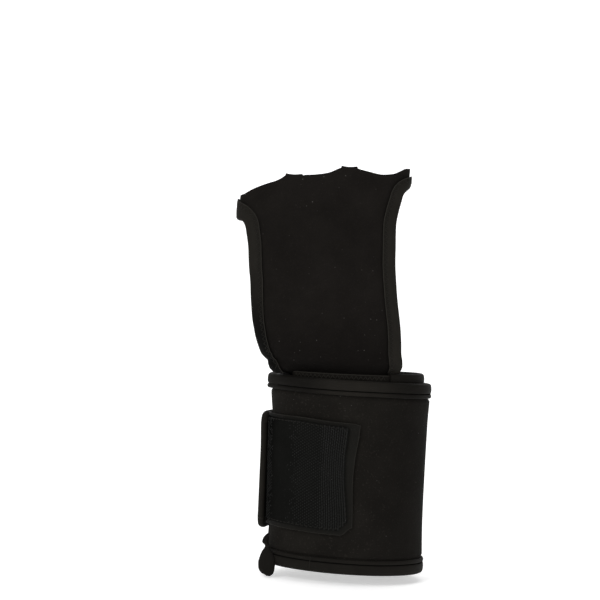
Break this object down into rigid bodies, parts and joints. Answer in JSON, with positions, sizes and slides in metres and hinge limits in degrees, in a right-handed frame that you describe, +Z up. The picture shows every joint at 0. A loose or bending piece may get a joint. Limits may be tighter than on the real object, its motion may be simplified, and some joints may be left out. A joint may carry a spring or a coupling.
{
  "type": "weightlifting glove",
  "caption": "Left-hand weightlifting glove: black suede grip panel with three finger holes, open back, and a neoprene wrist wrap closed by a hook tab.",
  "frame": {"origin": "centre of the wrist opening at the lower rim of the wrap, where the forearm holds it up", "axes": "+Z up the forearm to the fingers, -Y the palm side that faces the viewer, +X the little-finger side"},
  "size_m": [0.093, 0.0596, 0.187],
  "materials": {
    "suede": "matte suede",
    "binding_tape": "smooth woven tape",
    "neoprene": "matte knit-faced neoprene",
    "hook_tape": "ribbed hook tape"
  },
  "bodies": {
    "root": {"palm_panel": "suede", "palm_binding": "binding_tape", "wrist_wrap": "neoprene", "wrap_top_binding": "binding_tape", "wrap_bottom_binding": "binding_tape", "strap_end_binding": "binding_tape", "closure_tab": "hook_tape", "tab_patch": "hook_tape", "binding_tail": "binding_tape"}
  },
  "joints": []
}
